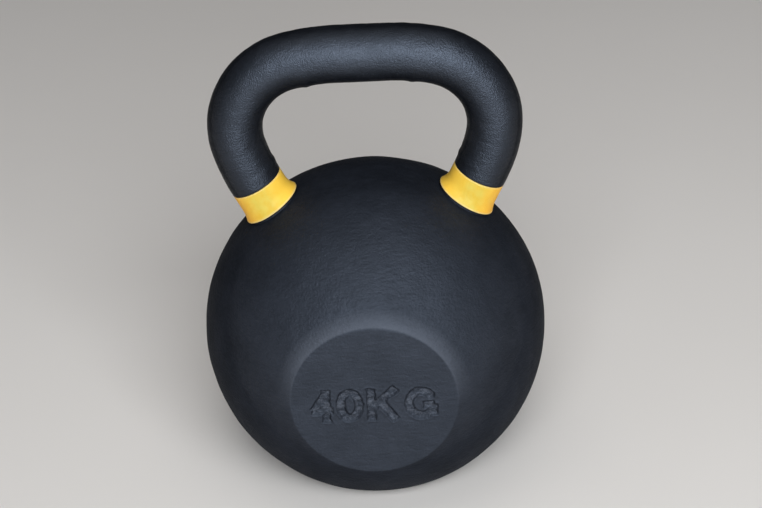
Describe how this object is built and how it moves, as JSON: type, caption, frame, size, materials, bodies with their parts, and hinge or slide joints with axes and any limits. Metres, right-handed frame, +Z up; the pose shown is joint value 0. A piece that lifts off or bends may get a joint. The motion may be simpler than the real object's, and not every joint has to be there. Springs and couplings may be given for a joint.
{
  "type": "kettlebell",
  "caption": "Cast iron kettlebell: a ball with a flat base and flat faces, a bent round handle and a coloured band at each of its feet.",
  "frame": {"origin": "centre of the flat base, on the surface that the kettlebell stands on", "axes": "+Z up through the ball and the grip, +X along the grip, -Y out of the flat face with the weight figure"},
  "size_m": [0.2188, 0.1936, 0.2941],
  "materials": {
    "cast_ball": "black powder coat, fine pebbled grain",
    "steel_handle": "black powder coat, fine pebbled grain",
    "weld_bead": "black powder coat over a dressed weld bead",
    "colour_band": "satin golden yellow"
  },
  "bodies": {
    "root": {"ball": "cast_ball", "handle": "steel_handle", "weld_left": "weld_bead", "weld_right": "weld_bead", "colour_band_left": "colour_band", "colour_band_right": "colour_band"}
  },
  "joints": []
}
